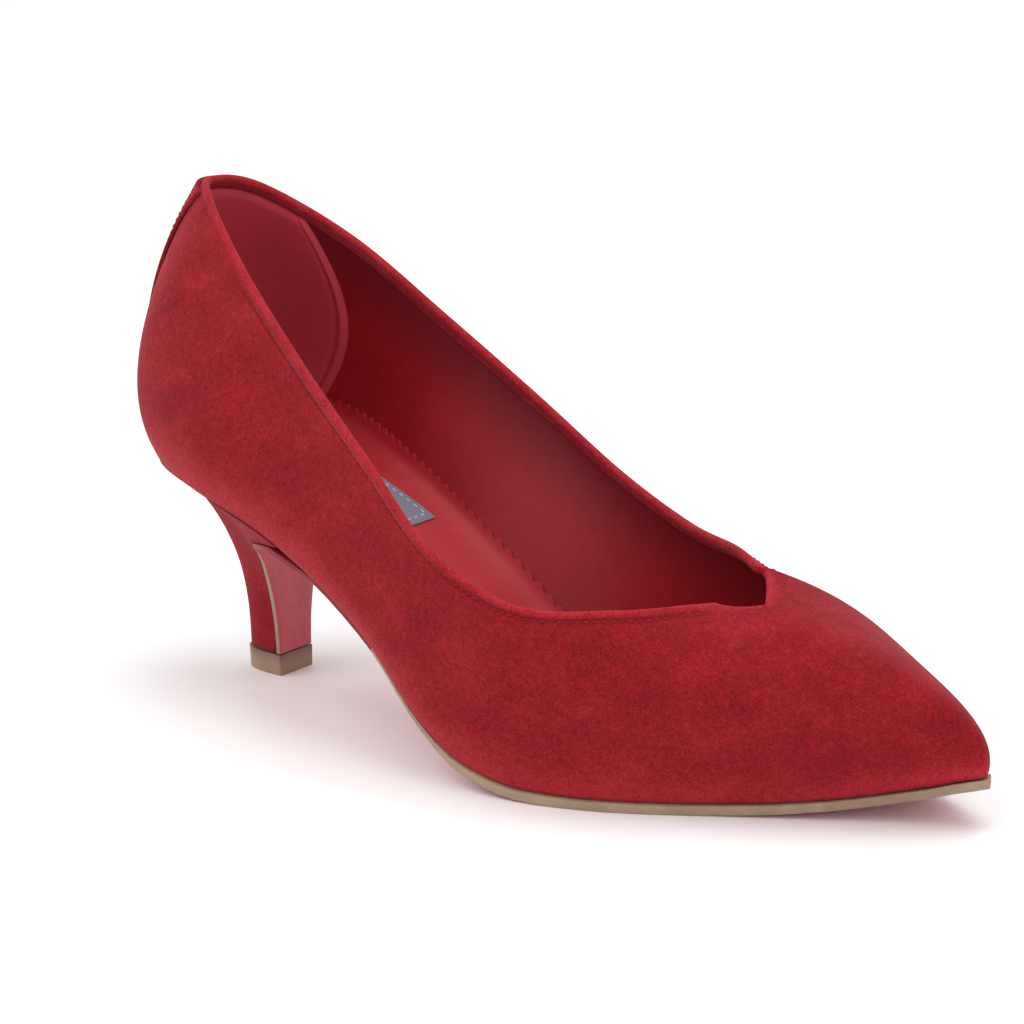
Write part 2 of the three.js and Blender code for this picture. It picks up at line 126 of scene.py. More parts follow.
@dataclass
class Last:
    """The last that the upper is shaped on. u counts ribs round the shoe, t climbs from feather to crest."""

    foot_length: float = 235 * MM
    ball_width: float = 76 * MM
    seat_height: float = 57 * MM
    toe_spring: float = 10 * MM
    collar_rise: float = 63 * MM
    wall: float = 1.6 * MM
    notch_depth: float = 4.5 * MM
    sole_thickness: float = 2.2 * MM
    clearance: float = 0.3 * MM
    tip_slope: float = 0.085
    notch_ribs: float = 1.3
    shift: Array = field(default_factory=lambda: np.zeros(3))
    loops: dict[str, Array] = field(default_factory=dict)

    def __post_init__(self) -> None:
        """Work out the feather line and the control loops, and set them where the frame has the upper."""
        table = np.array(FEATHER)
        self.knot_x = table[:, 0] * self.foot_length
        base = self.sole_thickness + self.clearance
        self.knot_z = base + table[:, 1] * self.seat_height + table[:, 2] * self.toe_spring
        chord = np.diff(self.knot_z) / np.diff(self.knot_x)
        before, after = chord[:-1], chord[1:]
        rising = before * after > 0
        total = np.where(rising, before + after, 1)
        middle = np.where(rising, 2 * before * after / total, 0)
        self.slopes = np.concatenate([[0], middle, [self.tip_slope]])
        self.loops = self.control_loops()
        us = np.linspace(0, RIB_COUNT, 400)[:, None]
        skin = self.surface(us, np.linspace(0, 1, 40)[None, :] * self.topline(us)).reshape(-1, 3)
        low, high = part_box("upper")
        self.shift = (np.array(low) + np.array(high)) / 2 - (skin.min(0) + skin.max(0)) / 2
        self.shift[2] = 0.0

    def feather(self, x: Array) -> Array:
        """Height of the feather line at x.

        Args:
            x: Places along the shoe, before the shift to the frame.

        Returns:
            The height at each place.
        """
        x = np.clip(x, self.knot_x[0], self.knot_x[-1])
        i = np.clip(np.searchsorted(self.knot_x, x, side="right") - 1, 0, len(self.knot_x) - 2)
        width = self.knot_x[i + 1] - self.knot_x[i]
        t = (x - self.knot_x[i]) / width
        ease = t * t * (3 - 2 * t)
        bow = width * t * (1 - t) * (self.slopes[i] * (1 - t) - self.slopes[i + 1] * t)
        return self.knot_z[i] + (self.knot_z[i + 1] - self.knot_z[i]) * ease + bow

    def control_loops(self) -> dict[str, Array]:
        """The foot, rise, crest and fall loops, from the back along the outer side to the toe and back."""
        loops: dict[str, list[list[float]]] = {"foot": [], "rise": [], "crest": [], "fall": []}
        for i in range(RIB_COUNT):
            outer_side = i <= TIP_RIB
            rib = RIBS[i if outer_side else RIB_COUNT - i]
            foot, outer, inner, turn, lean, rise, crest, c_outer, c_inner, t_outer, t_inner, rake, fall = rib
            side = -1 if outer_side else 1
            turn, lean, rake = math.radians(turn), math.radians(lean), math.radians(rake)
            out = np.array([math.cos(turn), 0 if i in (0, TIP_RIB) else side * math.sin(turn), 0])
            up = np.array([0, 0, 1])
            foot_x = foot * self.foot_length
            foot_y = side * (outer if outer_side else inner) * self.ball_width
            crest_y = side * (c_outer if outer_side else c_inner) * self.ball_width
            crest_z = self.feather(foot_x) + (t_outer if outer_side else t_inner) * self.collar_rise
            loops["foot"].append([foot_x, foot_y, 0])
            loops["crest"].append([crest * self.foot_length, crest_y, crest_z])
            loops["rise"].append((out * math.sin(lean) + up * math.cos(lean)) * rise * self.collar_rise)
            loops["fall"].append((out * math.sin(rake) - up * math.cos(rake)) * fall * self.collar_rise)
        return {name: np.array(points) for name, points in loops.items()}

    def on_loop(self, name: str, u: Array) -> Array:
        """Points of a closed control loop at u."""
        points = self.loops[name]
        u = np.mod(u, RIB_COUNT)
        i = np.floor(u).astype(int)
        t = (u - i)[..., None]
        p0, p1, p2, p3 = (points[(i + k) % RIB_COUNT] for k in (-1, 0, 1, 2))
        m1, m2 = (p2 - p0) / 2, (p3 - p1) / 2
        return p1 + m1 * t + (3 * (p2 - p1) - 2 * m1 - m2) * t**2 + (2 * (p1 - p2) + m1 + m2) * t**3

    def surface(self, u: Array, t: Array) -> Array:
        """Outer surface of the upper at u and t, as an array of points."""
        u, t = np.broadcast_arrays(np.asarray(u, float), np.asarray(t, float))
        foot = self.on_loop("foot", u)
        foot[..., 2] = self.feather(foot[..., 0])
        crest = self.on_loop("crest", u)
        low = foot + self.on_loop("rise", u)
        high = crest + self.on_loop("fall", u)
        t = t[..., None]
        s = 1 - t
        return s**3 * foot + 3 * t * s**2 * low + 3 * t**2 * s * high + t**3 * crest + self.shift

    def climb(self, u: Array, t: Array) -> Array:
        """Direction up the surface at u and t."""
        step = 0.004
        return unit(self.surface(u, np.minimum(t + step, 1)) - self.surface(u, np.maximum(t - step, 0)))

    def normal(self, u: Array, t: Array) -> Array:
        """Outward direction of the surface at u and t."""
        step = 0.004
        along = self.surface(u + step, t) - self.surface(u - step, t)
        return unit(np.cross(along, self.climb(u, t)))

    def rib_length(self, u: Array) -> Array:
        """Length of the rib at u along the surface, by its chords."""
        steps = np.linspace(0, 1, 13)
        points = self.surface(np.asarray(u, float)[..., None], steps)
        return np.linalg.norm(np.diff(points, axis=-2), axis=-1).sum(-1)

    def from_tip(self, u: Array) -> Array:
        """How many ribs u lies from the tip of the toe."""
        return np.abs(np.mod(u, RIB_COUNT) - TIP_RIB)

    def topline(self, u: Array) -> Array:
        """The t of the topline: the crest with the V cut into it."""
        chord = np.linalg.norm(self.surface(TIP_RIB, 1.0) - self.surface(TIP_RIB, 0.0))
        return 1 - self.notch_depth / chord * np.maximum(0, 1 - self.from_tip(u) / self.notch_ribs)

    def over_edge(self, u: Array, run: float, lift: float) -> Array:
        """Points on the way over the topline.

        Args:
            u: Places round the shoe.
            run: Way from the outer edge of the topline, round it and down inside.
            lift: Distance off the skin.

        Returns:
            The points.
        """
        half = self.wall / 2
        t = self.topline(u) - max(0, run - math.pi * half) / self.rib_length(u)
        turn = min(run / half, math.pi)
        normal, climb = self.normal(u, t), self.climb(u, t)
        centre = self.surface(u, t) - normal * half
        return centre + (normal * math.cos(turn) + climb * math.sin(turn)) * (half + lift)

    def wall_inside(self, u: Array, height: Array, lift: float) -> Array:
        """Points off the inner face of the wall by lift, at a height along it from the feather line."""
        t = height / self.rib_length(u)
        return self.surface(u, t) - self.normal(u, t) * (self.wall + lift)

    def inset(self, u: Array, inset: Array, lift: Array) -> Array:
        """A point of the foot outline moved inwards, on the feather surface raised by lift."""
        step = 0.01
        along = self.on_loop("foot", u + step) - self.on_loop("foot", u - step)
        out = unit(np.stack([along[..., 1], -along[..., 0], np.zeros(along.shape[:-1])], -1))
        point = self.on_loop("foot", u) - out * np.asarray(inset)[..., None]
        point[..., 2] = self.feather(point[..., 0]) + lift
        return point + self.shift

    def at_width(self, y: Array, t: Array) -> Array:
        """The u near the back where the surface at t has this y, counted from the back line of the shoe."""
        low, high = np.full(np.shape(y), -3.0), np.full(np.shape(y), 3.0)
        for _ in range(30):
            middle = (low + high) / 2
            past = self.surface(middle, t)[..., 1] - self.shift[1] > y
            low, high = np.where(past, middle, low), np.where(past, high, middle)
        return (low + high) / 2


class Wire:
    """A shader socket that sums can be written on."""

    def __init__(self, paint: "Paint", socket: bpy.types.NodeSocket) -> None:
        """Hold the socket and the material that it belongs to."""
        self.paint = paint
        self.socket = socket

    def math(self, operation: str, *others: "Wire | float") -> "Wire":
        """A Math node on this socket and the others."""
        return self.paint.node("ShaderNodeMath", {"operation": operation}, [self, *others])

    def __add__(self, other: "Wire | float") -> "Wire":
        """Sum."""
        return self.math("ADD", other)

    def __sub__(self, other: "Wire | float") -> "Wire":
        """Difference."""
        return self.math("SUBTRACT", other)

    def __rsub__(self, other: float) -> "Wire":
        """A number less this socket."""
        return self.math("MULTIPLY", -1.0).math("ADD", other)

    def __mul__(self, other: "Wire | float") -> "Wire":
        """Product."""
        return self.math("MULTIPLY", other)

    __radd__ = __add__
    __rmul__ = __mul__

    def between(self, low: float, high: float) -> "Wire":
        """Eased step from 0 at low to 1 at high."""
        settings = {"interpolation_type": "SMOOTHSTEP"}
        values = {"Value": self, "From Min": low, "From Max": high}
        return self.paint.node("ShaderNodeMapRange", settings, values)


class Paint:
    """One node material."""

    def __init__(self, name: str) -> None:
        """Start a material with its shader."""
        self.material = bpy.data.materials.new(name)
        self.material.use_nodes = True
        self.tree = self.material.node_tree
        self.shader = self.tree.nodes["Principled BSDF"]
        self.place = self.node("ShaderNodeTexCoord", {}, {}, "Object")

    def node(
        self,
        kind: str,
        settings: dict[str, object],
        inputs: dict[str, object] | Sequence[object],
        output: str | int = 0,
    ) -> Wire:
        """Add a node.

        Args:
            kind: The node's type.
            settings: Properties set before the sockets; a ramp's stops are its "stops".
            inputs: Values or wires by socket name, or in order.
            output: The output that is returned.

        Returns:
            The wire of that output.
        """
        node = self.tree.nodes.new(kind)
        for key, value in settings.items():
            if key == "stops":
                self.set_stops(node, value)
            else:
                setattr(node, key, value)
        items = inputs.items() if isinstance(inputs, dict) else enumerate(inputs)
        for key, value in items:
            self.feed(node.inputs[key], value)
        return Wire(self, node.outputs[output])

    def set_stops(self, node: bpy.types.Node, stops: Sequence[tuple[float, Sequence[float]]]) -> None:
        """Give a colour ramp its stops."""
        elements = node.color_ramp.elements
        while len(elements) < len(stops):
            elements.new(0.5)
        for element, (position, color) in zip(elements, stops):
            element.position = position
            element.color = (*color, 1)

    def feed(self, socket: bpy.types.NodeSocket, value: object) -> None:
        """Set a socket to a value, or link a wire to it."""
        if isinstance(value, Wire):
            self.tree.links.new(value.socket, socket)
        elif isinstance(value, (tuple, list)) and socket.type == "RGBA" and len(value) == 3:
            socket.default_value = (*value, 1)
        else:
            socket.default_value = value

    def noise(self, size: float, detail: float, rough: float = 0.5, place: Wire | None = None) -> Wire:
        """Noise whose marks are about size metres wide."""
        values = {"Vector": place or self.place, "Scale": 1 / size, "Detail": detail, "Roughness": rough}
        return self.node("ShaderNodeTexNoise", {}, values)

    def stretched(self, scale: Sequence[float], turn: Sequence[float] = (0, 0, 0)) -> Wire:
        """Object coordinates scaled and turned."""
        return self.node("ShaderNodeMapping", {}, {"Vector": self.place, "Scale": scale, "Rotation": turn})

    def blend(self, share: Wire, low: object, high: object) -> Wire:
        """Colour that goes from low to high as share goes from 0 to 1."""
        mix = self.tree.nodes.new("ShaderNodeMix")
        mix.data_type = "RGBA"
        self.feed(mix.inputs["Factor"], share)
        self.feed(mix.inputs[6], low)
        self.feed(mix.inputs[7], high)
        return Wire(self, mix.outputs[2])

    def attribute(self, name: str) -> Wire:
        """A number kept on the mesh."""
        return self.node("ShaderNodeAttribute", {"attribute_name": name}, {}, "Fac")

    def bump(self, height: Wire, distance: float, strength: float) -> Wire:
        """Normal for a surface raised by height times distance metres."""
        values = {"Height": height, "Distance": distance, "Strength": strength}
        return self.node("ShaderNodeBump", {}, values, "Normal")

    def finish(self, **sockets: object) -> bpy.types.Material:
        """Set the shader's sockets, underscores for spaces.

        Args:
            sockets: Values or wires by socket name.

        Returns:
            The finished material.
        """
        for name, value in sockets.items():
            self.feed(self.shader.inputs[name.replace("_", " ")], value)
        return self.material


@dataclass(frozen=True)
class Suede:
    """Dyed suede: short nap in brushed patches, with painted light low on the side and a painted highlight
    along the topline edge.
    """

    name: str = "red_suede"
    deep: Triple = (0.14, 0.004, 0.008)
    middle: Triple = (0.26, 0.009, 0.015)
    bright: Triple = (0.4, 0.024, 0.034)
    nap: float = 0.45 * MM
    tuft: float = 1.6 * MM
    patch: float = 11 * MM
    nap_depth: float = 0.4 * MM
    stitch_depth: float = 1.6

    def make(self) -> bpy.types.Material:
        """Build the material."""
        paint = Paint(self.name)
        nap = paint.noise(self.nap, 2, 0.7)
        tuft = paint.noise(self.tuft, 4, 0.65)
        brushed = paint.noise(self.patch, 4, 0.6, paint.stretched((0.8, 1, 1.2), (0, 0.5, 0.3)))
        fuzz = nap * 0.5 + tuft * 0.5
        # Painted light: the suede is lighter low on the side, near the sole
        low = paint.attribute("painted_light_band")
        # Painted highlight along the topline edge
        lightening = paint.attribute("rim_highlight_band")
        tone = (nap - 0.5) * 1.5 + (tuft - 0.5) * 0.8 + (brushed - 0.5) * 0.75 + low * 0.42 + lightening * 0.3 + 0.4
        ramp = {"stops": ((0.0, self.deep), (0.5, self.middle), (1.0, self.bright))}
        color = paint.node("ShaderNodeValToRGB", ramp, [tone], "Color")
        groove = paint.attribute("stitch_band")
        height = fuzz - groove * self.stitch_depth
        return paint.finish(
            # Painted shade: the stitch groove is darkened in colour as well as sunk in the bump
            Base_Color=paint.blend(groove * 0.5, color, self.deep),
            Roughness=0.95,
            Specular_IOR_Level=0.12,
            Sheen_Weight=0.22,
            Sheen_Roughness=0.4,
            Sheen_Tint=(1.0, 0.35, 0.38, 1),
            Normal=paint.bump(height, self.nap_depth, 0.8),
        )


@dataclass(frozen=True)
class SmoothLeather:
    """Smooth lining or sock leather with a fine grain, and painted shade on the lining below the topline."""

    name: str
    dark: Triple
    light: Triple
    roughness: float = 0.5
    pore: float = 0.6 * MM
    grain_depth: float = 0.05 * MM
    # Colour of the painted shade on the lining below the topline
    painted_shade: Triple = (0.1, 0.006, 0.010)

    def make(self) -> bpy.types.Material:
        """Build the material."""
        paint = Paint(self.name)
        values = {"Vector": paint.place, "Scale": 1 / self.pore}
        cells = paint.node("ShaderNodeTexVoronoi", {}, values, "Distance")
        cloud = paint.noise(24 * MM, 2)
        fine = paint.noise(2.5 * MM, 3)
        tone = (cloud - 0.5) * 0.7 + (fine - 0.5) * 0.4 + 0.5
        color = paint.blend(tone.between(0.1, 0.9), self.dark, self.light)
        return paint.finish(
            # Painted shade: the lining darkens towards the topline
            Base_Color=paint.blend(paint.attribute("shade_band") * 0.8, color, self.painted_shade),
            Roughness=tone * 0.15 + (self.roughness - 0.08),
            Specular_IOR_Level=0.35,
            Normal=paint.bump(cells * 0.5 + fine * 0.5, self.grain_depth, 0.6),
        )


@dataclass(frozen=True)
class WovenPatch:
    """Plain woven label cloth."""

    name: str = "label_cloth"
    warp: Triple = (0.14, 0.145, 0.2)
    weft: Triple = (0.2, 0.205, 0.25)
    thread: float = 0.35 * MM

    def make(self) -> bpy.types.Material:
        """Build the material."""
        paint = Paint(self.name)
        values = {"Vector": paint.place, "Scale": 0.1 / self.thread, "Distortion": 0.6}
        across = paint.node("ShaderNodeTexWave", {"bands_direction": "X"}, values)
        weave = across * paint.node("ShaderNodeTexWave", {"bands_direction": "Y"}, values)
        return paint.finish(
            Base_Color=paint.blend(weave, self.warp, self.weft),
            Roughness=0.55,
            Sheen_Weight=0.2,
            Normal=paint.bump(weave, 0.08 * MM, 0.8),
        )


@dataclass(frozen=True)
class CutLeather:
    """Cut edge of sole leather, with fibres along the cut: raw, or dyed under the arch."""

    name: str = "cut_edge"
    dark: Triple = (0.24, 0.155, 0.095)
    light: Triple = (0.36, 0.255, 0.17)

    def make(self) -> bpy.types.Material:
        """Build the material."""
        paint = Paint(self.name)
        fibre = paint.noise(1.1 * MM, 3, 0.55, paint.stretched((0.3, 0.3, 2.0)))
        stain = paint.noise(14 * MM, 2)
        tone = fibre * 0.35 + stain * 0.65
        return paint.finish(
            Base_Color=paint.blend(tone.between(0.3, 0.7), self.dark, self.light),
            Roughness=0.6,
            Normal=paint.bump(fibre, 0.08 * MM, 0.5),
        )


@dataclass(frozen=True)
class PaintedSole:
    """Rose painted face of the sole and the heel breast, lightly scuffed."""

    name: str = "rose_sole"
    dark: Triple = (0.42, 0.035, 0.055)
    light: Triple = (0.52, 0.07, 0.09)

    def make(self) -> bpy.types.Material:
        """Build the material."""
        paint = Paint(self.name)
        cloud = paint.noise(9 * MM, 3)
        grain = paint.noise(0.5 * MM, 3, 0.6)
        scuff = paint.noise(3 * MM, 4, 0.7, paint.stretched((0.3, 1.6, 1)))
        tone = cloud * 0.6 + scuff * 0.4
        return paint.finish(
            Base_Color=paint.blend(tone.between(0.3, 0.7), self.dark, self.light),
            Roughness=scuff * 0.25 + 0.32,
            Coat_Weight=0.15,
            Normal=paint.bump(grain, 0.05 * MM, 0.5),
        )


@dataclass(frozen=True)
class LiftRubber:
    """Tan rubber of the top lift, darker towards the heel."""

    name: str = "lift_rubber"
    dark: Triple = (0.16, 0.1, 0.07)
    light: Triple = (0.34, 0.225, 0.145)
    height: float = 5.3 * MM

    def make(self) -> bpy.types.Material:
        """Build the material."""
        paint = Paint(self.name)
        cloud = paint.noise(4 * MM, 3)
        grain = paint.noise(0.3 * MM, 2)
        up = paint.node("ShaderNodeSeparateXYZ", {}, {"Vector": paint.place}, "Z")
        # Lighter towards the bottom of the lift
        lightening = 1.0 - up.between(0.3 * self.height, 1.05 * self.height)
        return paint.finish(
            Base_Color=paint.blend(lightening * 0.75 + (cloud - 0.5) * 0.7 + 0.15, self.dark, self.light),
            Roughness=0.55,
            Normal=paint.bump(grain, 0.05 * MM, 0.5),
        )


@dataclass(frozen=True)
class Thread:
    """Sewing thread with its twist."""

    name: str
    color: Triple

    def make(self) -> bpy.types.Material:
        """Build the material."""
        paint = Paint(self.name)
        twist = paint.noise(0.25 * MM, 2)
        pale = tuple(min(1.0, part * 1.5) for part in self.color)
        return paint.finish(
            Base_Color=paint.blend(twist, self.color, pale),
            Roughness=0.75,
            Specular_IOR_Level=0.2,
            Normal=paint.bump(twist, 0.05 * MM, 0.6),
        )


class Edges(Enum):
    """Which sides of a wrapped grid meet."""

    OPEN = "open"
    AROUND = "around"
    BOTH = "both"


def choose(piece: Piece) -> None:
    """Select one object alone and make it active."""
    bpy.ops.object.select_all(action="DESELECT")
    piece.select_set(True)
    bpy.context.view_layer.objects.active = piece


def edit(piece: Piece, *steps: Callable[[], object]) -> None:
    """Run edit mode operators on the whole of one piece."""
    choose(piece)
    bpy.ops.object.mode_set(mode="EDIT")
    bpy.ops.mesh.select_all(action="SELECT")
    for step in steps:
        step()
    bpy.ops.object.mode_set(mode="OBJECT")


def face_out(piece: Piece) -> None:
    """Turn the faces of a closed piece outwards."""
    edit(piece, lambda: bpy.ops.mesh.normals_make_consistent(inside=False))


def closed(points: Array, edges: Edges) -> Array:
    """The points with the first column, and for BOTH the first row, repeated at the end."""
    if edges is not Edges.OPEN:
        points = np.concatenate([points, points[:, :1]], 1)
    if edges is Edges.BOTH:
        points = np.concatenate([points, points[:1]], 0)
    return points


def wrap_grid(
    name: str,
    points: Array,
    edges: Edges = Edges.OPEN,
    marks: dict[str, Array] | None = None,
    skins: Array | None = None,
) -> Piece:
    """Lay a grid primitive over rows of points.

    Args:
        name: Name of the piece.
        points: Places as rows by columns by 3.
        edges: Which sides meet.
        marks: Numbers for the materials, rows by columns, kept as mesh attributes.
        skins: Material slot of each row of faces.

    Returns:
        The piece, with its seams merged.
    """
    points = closed(points, edges)
    rows, columns = points.shape[:2]
    bpy.ops.object.select_all(action="DESELECT")
    bpy.ops.mesh.primitive_grid_add(x_subdivisions=columns - 1, y_subdivisions=rows - 1, size=2)
    piece = bpy.context.object
    piece.name = piece.data.name = name
    mesh = piece.data
    flat = np.empty(len(mesh.vertices) * 3)
    mesh.vertices.foreach_get("co", flat)
    place = flat.reshape(-1, 3)
    column = np.rint((place[:, 0] + 1) / 2 * (columns - 1)).astype(int)
    row = np.rint((place[:, 1] + 1) / 2 * (rows - 1)).astype(int)
    mesh.vertices.foreach_set("co", points[row, column].astype(np.float32).ravel())
    for mark, values in (marks or {}).items():
        values = closed(values[..., None], edges)[..., 0]
        attribute = mesh.attributes.new(mark, "FLOAT", "POINT")
        attribute.data.foreach_set("value", values[row, column].astype(np.float32))
    if skins is not None:
        corners = np.empty(len(mesh.loops), int)
        mesh.loops.foreach_get("vertex_index", corners)
        mesh.polygons.foreach_set("material_index", skins[row[corners.reshape(-1, 4)].min(1)].astype(int))
    mesh.update()
    edit(piece, lambda: bpy.ops.mesh.remove_doubles(threshold=1e-7))
    return piece


def cap_ends(piece: Piece) -> None:
    """Close the open ends of a tube and turn its faces outwards."""
    open_rings = {"use_wire": False, "use_multi_face": False, "use_non_contiguous": False}
    edit(
        piece,
        lambda: bpy.ops.mesh.select_all(action="DESELECT"),
        lambda: bpy.ops.mesh.select_mode(type="EDGE"),
        lambda: bpy.ops.mesh.select_non_manifold(extend=False, **open_rings),
        lambda: bpy.ops.mesh.fill_holes(sides=0),
        lambda: bpy.ops.mesh.select_mode(type="VERT"),
    )
    face_out(piece)


def apply(piece: Piece, kind: str, **settings: object) -> None:
    """Add a modifier and apply it."""
    choose(piece)
    modifier = piece.modifiers.new(kind.lower(), kind)
    for key, value in settings.items():
        setattr(modifier, key, value)
    bpy.ops.object.modifier_apply(modifier=modifier.name)


def bevel(piece: Piece, width: float) -> None:
    """Bevel the sharp edges."""
    apply(piece, "BEVEL", width=width, segments=2, limit_method="ANGLE", angle_limit=math.radians(50))


def rounded(piece: Piece, degrees: float = 40) -> None:
    """Smooth shading, but for edges sharper than this."""
    choose(piece)
    bpy.ops.object.shade_smooth_by_angle(angle=math.radians(degrees))


def dress(piece: Piece, slot: str, nodes: Sequence[str], *materials: bpy.types.Material) -> None:
    """Give a piece its materials and its body, and hide the CAD nodes that it stands for.

    Args:
        piece: The finished piece.
        slot: Not used.
        nodes: CAD nodes that the piece replaces.
        materials: Materials in slot order.
    """
    skins = np.empty(len(piece.data.polygons), int)
    piece.data.polygons.foreach_get("material_index", skins)
    piece.data.materials.clear()
    for material in materials:
        piece.data.materials.append(material)
    piece.data.polygons.foreach_set("material_index", np.minimum(skins, len(materials) - 1))
    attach(piece, BODY)
    if nodes:
        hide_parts(*nodes)
    LOG.info("%s: %d faces", piece.name, len(piece.data.polygons))


def solid_copy(node: bpy.types.Object, name: str, sharp: float) -> Piece:
    """A merged copy of a CAD node, in quads, with its sharp edges creased and one round of subdivision.

    Args:
        node: The CAD node.
        name: Name of the copy.
        sharp: Edges that turn by more than this, in degrees, stay sharp.

    Returns:
        The copy.
    """
    piece = node.copy()
    piece.data = node.data.copy()
    piece.name = piece.data.name = name
    for key in list(piece.keys()):
        del piece[key]
    piece.parent = None
    bpy.context.scene.collection.objects.link(piece)
    angle = math.radians(sharp)
    edit(
        piece,
        lambda: bpy.ops.mesh.remove_doubles(threshold=1e-6),
        lambda: bpy.ops.mesh.tris_convert_to_quads(face_threshold=angle, shape_threshold=math.radians(80)),
        lambda: bpy.ops.mesh.select_all(action="DESELECT"),
        lambda: bpy.ops.mesh.edges_select_sharp(sharpness=angle),
        lambda: bpy.ops.transform.edge_crease(value=1),
    )
    apply(piece, "SUBSURF", levels=1, render_levels=1)
    return piece


@dataclass
class StitchRow:
    """A row of stitches along a path on a surface."""

    pitch: float = 2.0 * MM
    length: float = 1.3 * MM
    thickness: float = 0.32 * MM
    sink: float = 0.4

    def build(self, name: str, path: Array, normals: Array) -> Piece:
        """Lay copies of one stitch along the path.

        Args:
            name: Name of the piece.
            path: Dense points of the path.
            normals: Surface direction at each point.

        Returns:
            One piece with every stitch.
        """
        bpy.ops.object.select_all(action="DESELECT")
        bpy.ops.mesh.primitive_uv_sphere_add(segments=8, ring_count=5, radius=0.5)
        piece = bpy.context.object
        piece.name = piece.data.name = name
        seed = np.array([v.co[:] for v in piece.data.vertices])
        faces = [tuple(p.vertices) for p in piece.data.polygons]
        run = way_along(path)
        count = max(1, int(run[-1] / self.pitch))
        stops = (np.arange(count) + 0.5) * run[-1] / count

        def at(places: Array, values: Array) -> Array:
            """The values at these lengths along the path."""
            return np.stack([np.interp(places, run, values[:, k]) for k in range(3)], -1)

        up = unit(at(stops, normals))
        along = unit(at(stops + 0.1 * MM, path) - at(stops - 0.1 * MM, path))
        side = unit(np.cross(up, along))
        centre = at(stops, path) + up * self.thickness * (0.5 - self.sink)
        axes = np.stack([along * self.length, side * self.thickness, up * self.thickness], 1)
        points = np.einsum("vk,ski->svi", seed, axes) + centre[:, None]
        mesh = bpy.data.meshes.new(name)
        joined = [tuple(i + s * len(seed) for i in face) for s in range(count) for face in faces]
        mesh.from_pydata(points.reshape(-1, 3).tolist(), [], joined)
        old = piece.data
        piece.data = mesh
        bpy.data.meshes.remove(old)
        mesh.name = name
        rounded(piece, 80)
        return piece


